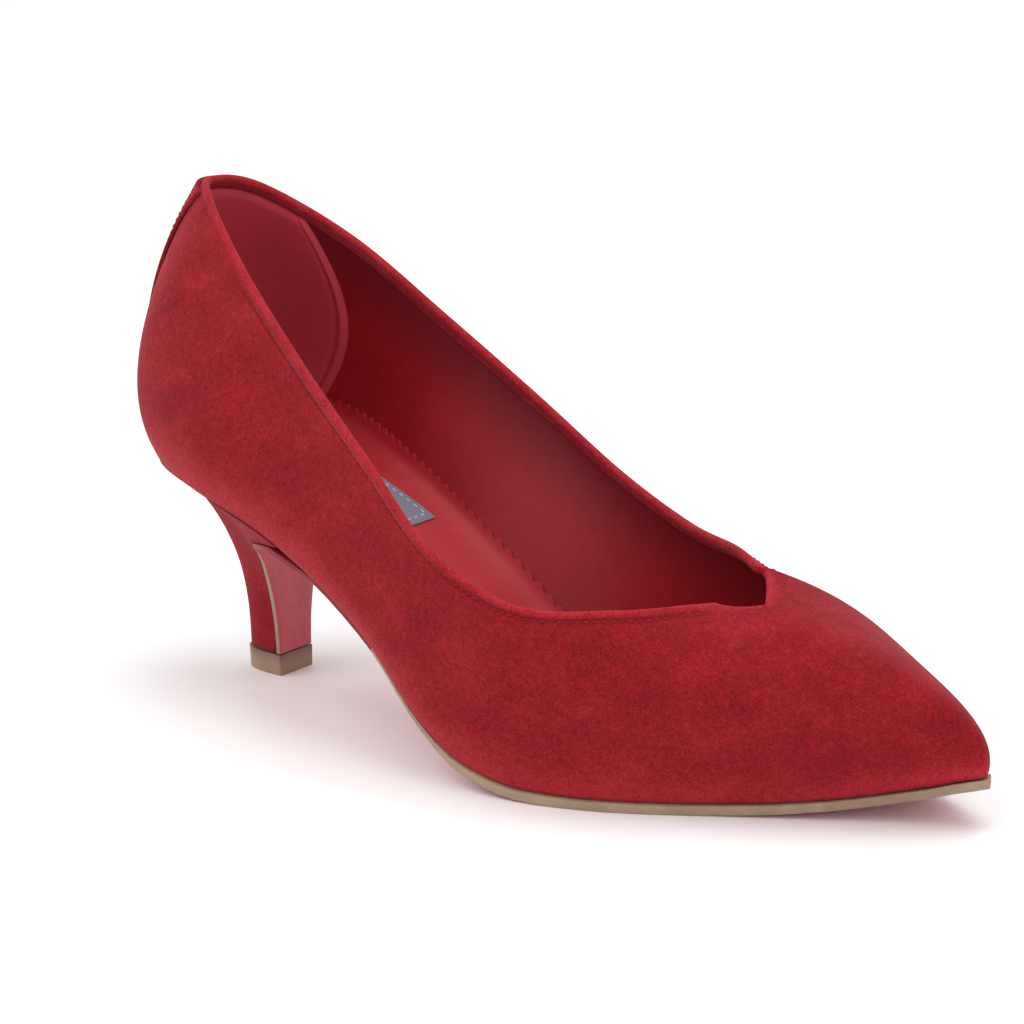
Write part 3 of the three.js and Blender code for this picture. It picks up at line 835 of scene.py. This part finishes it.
@dataclass
class Upper:
    """Suede upper with its folded topline, smooth lining and lasting margin."""

    last: Last
    columns: int = 400
    outer_rows: int = 44
    rim_rows: int = 6
    fold_rows: int = 5
    inner_rows: int = 30
    flange: float = 8 * MM
    toe_flange: float = 3 * MM
    fold_depth: float = 2.8 * MM
    fold_lift: float = 0.4 * MM
    lowest: float = 0.07
    stitch_below: float = 1.9 * MM
    stitch_width: float = 0.6 * MM
    # Reach of the painted light up from the sole
    painted_light_reach: float = 15 * MM
    # Reach of the painted highlight along the topline edge
    rim_highlight_reach: float = 1.4 * MM
    # Reach of the painted shade on the lining below the topline
    shade_reach: float = 26 * MM
    row_ease: float = 0.9
    dents_from: float = 0.15
    dents_to: float = 0.8
    flange_ribs: float = 2.5
    heel_ribs: tuple[float, float] = (6, 7.5)
    seated_share: float = 0.9
    stitch_points: int = 2400

    def creases(self, u: Array, t: Array) -> Array:
        """Depth of the soft dents and swells of the worked suede, in metres."""
        # Each one: its u and t, its reach along both, and its height in millimetres
        marks = (
            (8.3, 0.55, 0.9, 0.25, 0.35), (7.3, 0.62, 0.35, 0.3, -0.3), (11.4, 0.6, 0.6, 0.25, 0.3),
            (6.2, 0.75, 0.3, 0.25, -0.3), (2.4, 0.35, 0.6, 0.3, 0.25), (4.6, 0.5, 0.7, 0.25, -0.25),
            (1.2, 0.6, 0.35, 0.3, -0.2), (16.2, 0.5, 0.8, 0.3, -0.3), (13.6, 0.55, 0.35, 0.3, -0.3),
        )
        depth = np.zeros(np.broadcast(u, t).shape)
        for mark_u, mark_t, reach_u, reach_t, height in marks:
            away = ((u - mark_u) / reach_u) ** 2 + ((t - mark_t) / reach_t) ** 2
            depth = depth + height * MM * np.exp(-away)
        return depth

    def build(self) -> None:
        """Make the upper and its stitches."""
        last = self.last
        u = np.arange(self.columns) / self.columns * RIB_COUNT
        top = last.topline(u)
        length = last.rib_length(u)
        rows: list[Array] = []
        below: list[Array] = []
        for j in range(self.outer_rows + 1):
            t = (j / self.outer_rows) ** self.row_ease * top
            fade = smooth(t / top, 0.0, self.dents_from) * (1 - smooth(t / top, self.dents_to, 1.0))
            rows.append(last.surface(u, t) + last.normal(u, t) * (self.creases(u, t) * fade)[:, None])
            below.append((top - t) * length)
        around = math.pi * last.wall / 2
        for k in range(1, self.rim_rows + 1):
            share = k / self.rim_rows
            rows.append(last.over_edge(u, around * share, self.fold_lift * share**2))
            below.append(np.zeros(self.columns))
        for k in range(1, self.fold_rows + 1):
            down = self.fold_depth * k / self.fold_rows
            rows.append(last.over_edge(u, around + down, self.fold_lift))
            below.append(np.full(self.columns, down))
        start = top - self.fold_depth / length
        for k in range(self.inner_rows + 1):
            t = start + (self.lowest - start) * k / self.inner_rows
            rows.append(last.surface(u, t) - last.normal(u, t) * last.wall)
            below.append((top - t) * length)
        past_toe = smooth(last.from_tip(u), 0, self.flange_ribs)
        margin = self.toe_flange + (self.flange - self.toe_flange) * past_toe
        for inset, lift in ((last.wall, last.wall), (margin, last.wall), (margin, 0.0)):
            rows.append(last.inset(u, np.broadcast_to(inset, u.shape), lift))
            below.append(length)
        # Round the heel the lowest rows come down on the seat, and leave a tenth of the clearance
        at_heel = smooth(last.from_tip(u), *self.heel_ribs)
        seated = at_heel * last.clearance * self.seated_share
        rows[0][:, 2] -= seated
        rows[-1][:, 2] -= seated
        suede_rows = self.outer_rows + self.rim_rows + self.fold_rows
        skins = np.array([0] * (suede_rows + 1) + [1] * (len(rows) - suede_rows - 1))
        skins[-3:] = 0
        depth = np.array(below)
        line = np.abs(depth - self.stitch_below)
        marks = {
            # Stitch band: the groove in the bump, with painted shade darkening its colour
            "stitch_band": 1 - smooth(line, 0.4 * self.stitch_width, self.stitch_width),
            # Painted light on the suede near the sole
            "painted_light_band": 1 - smooth(top * length - depth, 0, self.painted_light_reach),
            # Painted highlight along the topline edge
            "rim_highlight_band": 1 - smooth(depth, 0, self.rim_highlight_reach),
            # Painted shade on the lining, darkest just below the topline fold
            "shade_band": 1 - smooth(depth, self.fold_depth, self.shade_reach),
        }
        upper = wrap_grid("upper_shell", np.array(rows), Edges.BOTH, marks, skins)
        rounded(upper, 70)
        lining = SmoothLeather("red_lining", (0.24, 0.006, 0.010), (0.33, 0.010, 0.016), 0.5)
        dress(upper, "suede", ["upper"], Suede().make(), lining.make())
        self.topline_stitches()

    def topline_stitches(self) -> None:
        """Sew the row below the topline."""
        last = self.last
        u = np.linspace(0, RIB_COUNT, self.stitch_points)
        t = last.topline(u) - self.stitch_below / last.rib_length(u)
        row = StitchRow().build("topline_stitches", last.surface(u, t), last.normal(u, t))
        dress(row, "suede", [], Thread("red_thread", (0.24, 0.01, 0.018)).make())


@dataclass
class BackStrip:
    """Suede cover over the back seam, sewn down along both edges."""

    last: Last
    width: float = 15 * MM
    thickness: float = 0.9 * MM
    lowest: float = 0.03
    highest: float = 0.985
    rows: int = 48
    columns: int = 12
    edge_round: float = 0.5 * MM
    stitch_inset: float = 1.7 * MM
    stitch_ends: tuple[float, float] = (0.02, 0.01)
    stitch_points: int = 300

    def across(self, y: Array, t: Array, lift: Array) -> Array:
        """Points above the outer surface at widths y and heights t."""
        u = self.last.at_width(y, t)
        return self.last.surface(u, t) + self.last.normal(u, t) * np.asarray(lift)[..., None]

    def build(self) -> None:
        """Make the strip and its stitches."""
        half = self.width / 2
        clear = self.last.clearance
        arc = np.radians([0, 30, 60, 90])
        edge_y = half - self.edge_round + self.edge_round * np.cos(arc)
        edge_lift = clear + self.thickness - self.edge_round * (1 - np.sin(arc))
        middle = np.linspace(half - self.edge_round, self.edge_round - half, self.columns + 1)[1:-1]
        under = np.linspace(-half, half, self.columns // 2 + 1)[:-1]
        y = np.concatenate([[half], edge_y, middle, -edge_y[::-1], under])
        on_top = np.full(middle.shape, clear + self.thickness)
        lift = np.concatenate([[clear], edge_lift, on_top, edge_lift[::-1], np.full(under.shape, clear)])
        t = np.linspace(self.lowest, self.highest, self.rows + 1)[:, None]
        points = self.across(*np.broadcast_arrays(y, t), lift)
        strip = wrap_grid("back_cover", points, Edges.AROUND, {"painted_light_band": np.zeros(points.shape[:2])})
        cap_ends(strip)
        rounded(strip, 60)
        dress(strip, "suede", ["back_strip"], Suede(name="strip_suede").make())
        low_end, high_end = self.stitch_ends
        t = np.linspace(self.lowest + low_end, self.highest - high_end, self.stitch_points)
        for side, name in ((1, "strip_stitches_inner"), (-1, "strip_stitches_outer")):
            y = np.full(t.shape, side * (half - self.stitch_inset))
            u = self.last.at_width(y, t)
            path = self.across(y, t, clear + self.thickness)
            row = StitchRow().build(name, path, self.last.normal(u, t))
            dress(row, "suede", [], Thread("strip_thread", (0.24, 0.01, 0.018)).make())


@dataclass
class Sock:
    """Padded leather sock with a pinked edge cupped up along the wall, and the bare patch sewn on it."""

    last: Last
    bottom: float = 4.2 * MM
    thickness: float = 0.9 * MM
    edge_gap: float = 0.1 * MM
    edge_thickness: float = 0.8 * MM
    edge_height: float = 8.8 * MM
    tooth: float = 1.2 * MM
    tooth_pitch: float = 3 * MM
    cup_reach: float = 7 * MM
    cup_most: float = 0.6
    cup_rings: int = 10
    flat_rings: int = 7
    corner_gap: float = 0.2 * MM
    spine_start: float = 20 * MM
    spine_end: float = 214 * MM
    stations: int = 1680
    label_start: float = 40.5 * MM
    label_length: float = 34 * MM
    label_width: float = 24 * MM
    label_middle: float = -3 * MM
    label_lift: float = 0.45 * MM
    label_gap: float = 0.1 * MM
    label_bevel: float = 0.12 * MM
    label_seam: float = 1.6 * MM

    def edge_line(self, u: Array) -> Array:
        """Height of the pinked edge up the wall, for u evenly once round the shoe."""
        run = way_along(self.last.on_loop("foot", u))
        phase = run / run[-1] * round(run[-1] / self.tooth_pitch)
        return self.edge_height + self.tooth / 2 * np.cos(2 * math.pi * phase)

    def spine(self, u: Array) -> Array:
        """Middle line of the sock beside each u, in plan."""
        half = np.linspace(0, TIP_RIB, 400)
        outer, inner = self.last.on_loop("foot", half), self.last.on_loop("foot", RIB_COUNT - half)
        x = self.last.on_loop("foot", np.minimum(u, RIB_COUNT - u))[..., 0]
        x = np.clip(x, self.spine_start, self.spine_end)
        y = np.interp(x, outer[:, 0], (outer[:, 1] + inner[:, 1]) / 2)
        return np.stack([x, y, np.zeros(x.shape)], -1) + self.last.shift

    def laid(self, points: Array, level: float) -> Array:
        """The points at a level above the feather surface."""
        points = points.copy()
        points[:, 2] = self.last.feather(points[:, 0] - self.last.shift[0]) + level
        return points

    def sheet(self, u: Array, height: Array, off_wall: float, level: float) -> list[Array]:
        """Rings of one face of the sock, from the edge inwards.

        Args:
            u: Places round the shoe.
            height: Height of the edge up the wall.
            off_wall: Distance of the face from the wall at the edge.
            level: Height of the flat part above the feather surface.

        Returns:
            The rings.
        """
        wall_inside = self.last.wall_inside
        root = np.full(u.shape, self.edge_height - self.tooth)
        rings = [wall_inside(u, height, off_wall), wall_inside(u, root + self.tooth / 3, off_wall)]
        edge = wall_inside(u, root, off_wall)
        corner = wall_inside(u, np.full(u.shape, level), off_wall + self.corner_gap)
        spine = self.spine(u)
        reach = np.linalg.norm((spine - corner)[:, :2], axis=1)
        share = np.minimum(self.cup_reach / np.maximum(reach, MM), self.cup_most)[:, None]
        start = self.laid(corner + (spine - corner) * share, level)
        corner = self.laid(corner, level)
        for s in np.linspace(0, 1, self.cup_rings):
            rings.append((1 - s) ** 2 * edge + 2 * s * (1 - s) * corner + s**2 * start)
        for s in np.linspace(0, 1, self.flat_rings)[1:]:
            rings.append(self.laid(start + (spine - start) * s, level))
        return rings

    def build(self) -> None:
        """Make the sock, the patch and its stitches."""
        u = np.linspace(0, RIB_COUNT, self.stations + 1)
        height = self.edge_line(u)[:-1]
        u = u[:-1]
        top = self.sheet(u, height, self.edge_gap + self.edge_thickness, self.bottom + self.thickness)
        under = self.sheet(u, height, self.edge_gap, self.bottom)
        sock = wrap_grid("sock_pad", np.array(under[::-1] + top), Edges.AROUND)
        face_out(sock)
        rounded(sock, 50)
        leather = SmoothLeather("sock_leather", (0.33, 0.010, 0.016), (0.43, 0.018, 0.028), 0.6, 0.5 * MM)
        dress(sock, "sock_leather", ["sock"], leather.make())
        self.label()

    def on_sock(self, x: Array, y: Array, lift: float) -> Array:
        """Points above the flat middle of the sock, with x and y counted from the back of the seat."""
        z = self.last.feather(x) + self.bottom + self.thickness + lift
        return np.stack([x, y, z], -1) + self.last.shift

    def label(self) -> None:
        """Lay the bare patch and sew its edge."""
        low_x, high_x = self.label_start, self.label_start + self.label_length
        half = self.label_width / 2
        xs = np.linspace(low_x, high_x, 25)
        ys = np.linspace(self.label_middle + half, self.label_middle - half, 13)
        grid_x, grid_y = np.meshgrid(xs, ys, indexing="ij")
        patch = wrap_grid("bare_patch", self.on_sock(grid_x, grid_y, self.label_gap))
        apply(patch, "SOLIDIFY", thickness=self.label_lift, offset=1)
        face_out(patch)
        bevel(patch, self.label_bevel)
        rounded(patch, 50)
        dress(patch, "label_fabric", ["sock_label"], WovenPatch().make())
        seam_x = (low_x + self.label_seam, high_x - self.label_seam)
        seam_y = (self.label_seam - half, half - self.label_seam)
        run = np.linspace(0, 4, 401)
        x = np.interp(run, range(5), [seam_x[k] for k in (0, 1, 1, 0, 0)])
        y = np.interp(run, range(5), [seam_y[k] for k in (0, 0, 1, 1, 0)]) + self.label_middle
        path = self.on_sock(x, y, self.label_gap + self.label_lift)
        up = np.broadcast_to([0.0, 0.0, 1.0], path.shape)
        row = StitchRow(2.4 * MM, 1.5 * MM, 0.4 * MM).build("patch_stitches", path, up)
        dress(row, "label_fabric", [], Thread("pale_thread", (0.42, 0.46, 0.52)).make())


@dataclass
class HeelGrip:
    """Pad on the lining round the back of the heel, with a bowed front edge and a raised seam along it."""

    last: Last
    thickness: float = 0.8 * MM
    welt: float = 0.4 * MM
    lowest: float = 0.1
    highest: float = 0.955
    rows: int = 60
    columns: int = 60
    front_ribs: float = 1.5
    front_bow: float = 0.42
    bow_middle: float = 0.45
    bow_reach: float = 0.5
    fine_from: float = 0.9
    fine_columns: int = 16
    edge_from: float = 0.975
    ridge: tuple[float, float] = (0.97, 0.015)
    groove: tuple[float, float] = (0.94, 0.012)
    end_reach: float = 0.03
    gap: float = 0.05 * MM
    bite: float = 0.2 * MM

    def build(self) -> None:
        """Make the pad."""
        t = np.linspace(self.lowest, self.highest, self.rows + 1)[:, None]
        front = self.front_ribs + self.front_bow * (1 - ((t - self.bow_middle) / self.bow_reach) ** 2)
        fine = np.linspace(self.fine_from, 1, self.fine_columns + 1)
        coarse = np.linspace(-self.fine_from, self.fine_from, self.columns + 1)[1:-1]
        share = np.concatenate([-fine[::-1], coarse, fine])[None]
        u = front * share
        side = np.abs(share)
        edge = 1 - smooth(side, self.edge_from, 1.0)
        ridge, groove = (np.exp(-(((side - at) / reach) ** 2)) for at, reach in (self.ridge, self.groove))
        low_end = smooth(t, self.lowest, self.lowest + self.end_reach)
        high_end = 1 - smooth(t, self.highest - self.end_reach, self.highest)
        swell = (self.thickness * edge + self.welt * (ridge - groove)) * (low_end * high_end)
        lift = self.last.wall + self.gap + swell
        t = t * self.last.topline(u)
        skin, out = self.last.surface(u, t), self.last.normal(u, t)
        face = skin - out * lift[..., None]
        back = skin - out * (self.last.wall - self.bite)
        pad = wrap_grid("heel_grip", np.concatenate([face, back[:, ::-1]], 1), Edges.AROUND)
        cap_ends(pad)
        rounded(pad, 60)
        leather = SmoothLeather("grip_leather", (0.42, 0.03, 0.048), (0.5, 0.045, 0.066), 0.75)
        dress(pad, "lining", [], leather.make())


@dataclass
class Bottom:
    """Insole, outsole, heel and top lift."""

    nodes: dict[str, bpy.types.Object]
    last: Last
    edge_bevel: float = 0.2 * MM
    tuck_share: float = 0.035
    tuck_reach: float = 6 * MM
    seat_middle: float = -90 * MM
    breast_front: float = -66 * MM
    breast_top: float = 38 * MM
    raw_top: float = 27 * MM

    def build(self) -> None:
        """Dress the hard pieces of the bottom."""
        insole = self.nodes["insole"]
        insole.data.materials.clear()
        leather = SmoothLeather("insole_leather", (0.18, 0.006, 0.01), (0.27, 0.01, 0.016))
        insole.data.materials.append(leather.make())
        rounded(insole, 40)
        self.outsole()
        heel = solid_copy(self.nodes["heel"], "heel_cover", 45)
        self.tuck(heel)
        rounded(heel, 45)
        dress(heel, "heel_suede", ["heel"], Suede(name="heel_suede").make())
        lift = solid_copy(self.nodes["top_lift"], "heel_lift", 50)
        self.soften(lift)
        dress(lift, "lift_rubber", ["top_lift"], LiftRubber().make())

    def tuck(self, heel: bpy.types.Object) -> None:
        """Draw the back of the heel's brim in, so that the suede runs on smoothly from the upper."""
        mesh = heel.data
        flat = np.empty(len(mesh.vertices) * 3)
        mesh.vertices.foreach_get("co", flat)
        place = flat.reshape(-1, 3)
        below = self.last.feather(place[:, 0] - self.last.shift[0]) - place[:, 2]
        share = self.tuck_share * (1 - smooth(below, 0, self.tuck_reach))
        at_back = 1 - smooth(place[:, 0], self.seat_middle, self.breast_front)
        place[:, 1] -= (place[:, 1] - self.last.shift[1]) * share * at_back
        place[:, 0] -= np.minimum(place[:, 0] - self.seat_middle, 0) * share
        mesh.vertices.foreach_set("co", flat.astype(np.float32))
        mesh.update()

    def soften(self, piece: Piece) -> None:
        """Break the sharp edges."""
        bevel(piece, self.edge_bevel)
        rounded(piece, 50)

    def outsole(self) -> None:
        """Paint the worn face of the outsole, dye its cut edge under the arch and leave the rest raw."""
        sole = solid_copy(self.nodes["outsole"], "outsole_leather", 50)
        self.soften(sole)
        for face in sole.data.polygons:
            outward = (face.normal.z < -0.5 or face.normal.x > 0.5) and abs(face.normal.y) < 0.4
            behind_arch = face.center.x < self.breast_front
            dyed = face.center.z > (self.breast_top if behind_arch else self.raw_top)
            face.material_index = 1 if outward else 2 if dyed else 0
        dyed_edge = CutLeather("dyed_edge", (0.17, 0.005, 0.010), (0.26, 0.009, 0.015))
        dress(sole, "sole_leather", ["outsole"], CutLeather().make(), PaintedSole().make(), dyed_edge.make())


@dataclass
class Studio:
    """Pale floor, soft lights and the camera of the photograph."""

    photo_focal: float = 2700 / 1024
    sensor: float = 36.0
    pitch: float = 14.274
    turn: float = 35.527
    place: Triple = (0.57677, -0.69958, 0.31564)
    aim: Triple = (-0.004, 0.0, 0.055)
    zoom: float = 1.5

    def build(self) -> None:
        """Set the floor, the lights and the camera."""
        self.floor()
        self.lights()
        self.camera()
        scene = bpy.context.scene
        scene.view_settings.view_transform = "Standard"
        world = bpy.data.worlds.new("studio")
        scene.world = world
        world.use_nodes = True
        backdrop = world.node_tree.nodes["Background"]
        backdrop.inputs["Color"].default_value = (1, 1, 1, 1)
        backdrop.inputs["Strength"].default_value = 0.8

    def floor(self) -> None:
        """A wide pale floor."""
        bpy.ops.object.select_all(action="DESELECT")
        bpy.ops.mesh.primitive_plane_add(size=12)
        floor = bpy.context.object
        floor.name = "floor"
        paint = Paint("pale_floor")
        cloud = paint.noise(0.3, 2)
        floor.data.materials.append(
            paint.finish(
                Base_Color=paint.blend(cloud, (0.9, 0.9, 0.9), (0.93, 0.93, 0.93)),
                Roughness=0.5,
                Specular_IOR_Level=0.2,
            )
        )
        floor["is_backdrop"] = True

    def lights(self) -> None:
        """Three large soft lights."""
        lamps = (
            ("key", (-0.7, -0.9, 1.3), 1.2, 9.0),
            ("fill", (1.3, -0.5, 0.7), 1.2, 4.0),
            ("top", (0.1, 0.3, 1.6), 1.4, 12.0),
        )
        for name, place, size, power in lamps:
            light = bpy.data.lights.new(name, "AREA")
            light.shape = "DISK"
            light.size = size
            light.energy = power
            lamp = bpy.data.objects.new(name, light)
            bpy.context.scene.collection.objects.link(lamp)
            lamp.location = place
            lamp.rotation_euler = (Vector((0, 0, 0.05)) - Vector(place)).to_track_quat("-Z", "Y").to_euler()

    def camera(self) -> None:
        """The photograph's camera, turned to the one shoe and closer in."""
        lens = bpy.data.cameras.new("camera")
        lens.sensor_width = self.sensor
        lens.lens = self.photo_focal * self.sensor * self.zoom
        lens.clip_start = 0.01
        eye = bpy.data.objects.new("camera", lens)
        bpy.context.scene.collection.objects.link(eye)
        eye.location = self.place
        level = Euler((math.radians(90 - self.pitch), 0, math.radians(self.turn))).to_quaternion()
        forward = level @ Vector((0, 0, -1))
        to_shoe = (Vector(self.aim) - Vector(self.place)).normalized()
        eye.rotation_euler = (forward.rotation_difference(to_shoe) @ level).to_euler()
        bpy.context.scene.camera = eye


def corners(box: tuple[Vector, Vector]) -> list[list[float]]:
    """A box as plain lists."""
    return [list(box[0]), list(box[1])]


def main() -> None:
    """Build the shoe round the frame."""
    logging.basicConfig(level=logging.INFO, format="%(message)s")
    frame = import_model()
    cad_box = corners(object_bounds())
    last = Last()
    Upper(last).build()
    BackStrip(last).build()
    HeelGrip(last).build()
    Sock(last).build()
    Bottom(frame["nodes"], last).build()
    Studio().build()
    {"cad": cad_box, "visual": corners(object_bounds())}


if __name__ == "__main__":
    main()
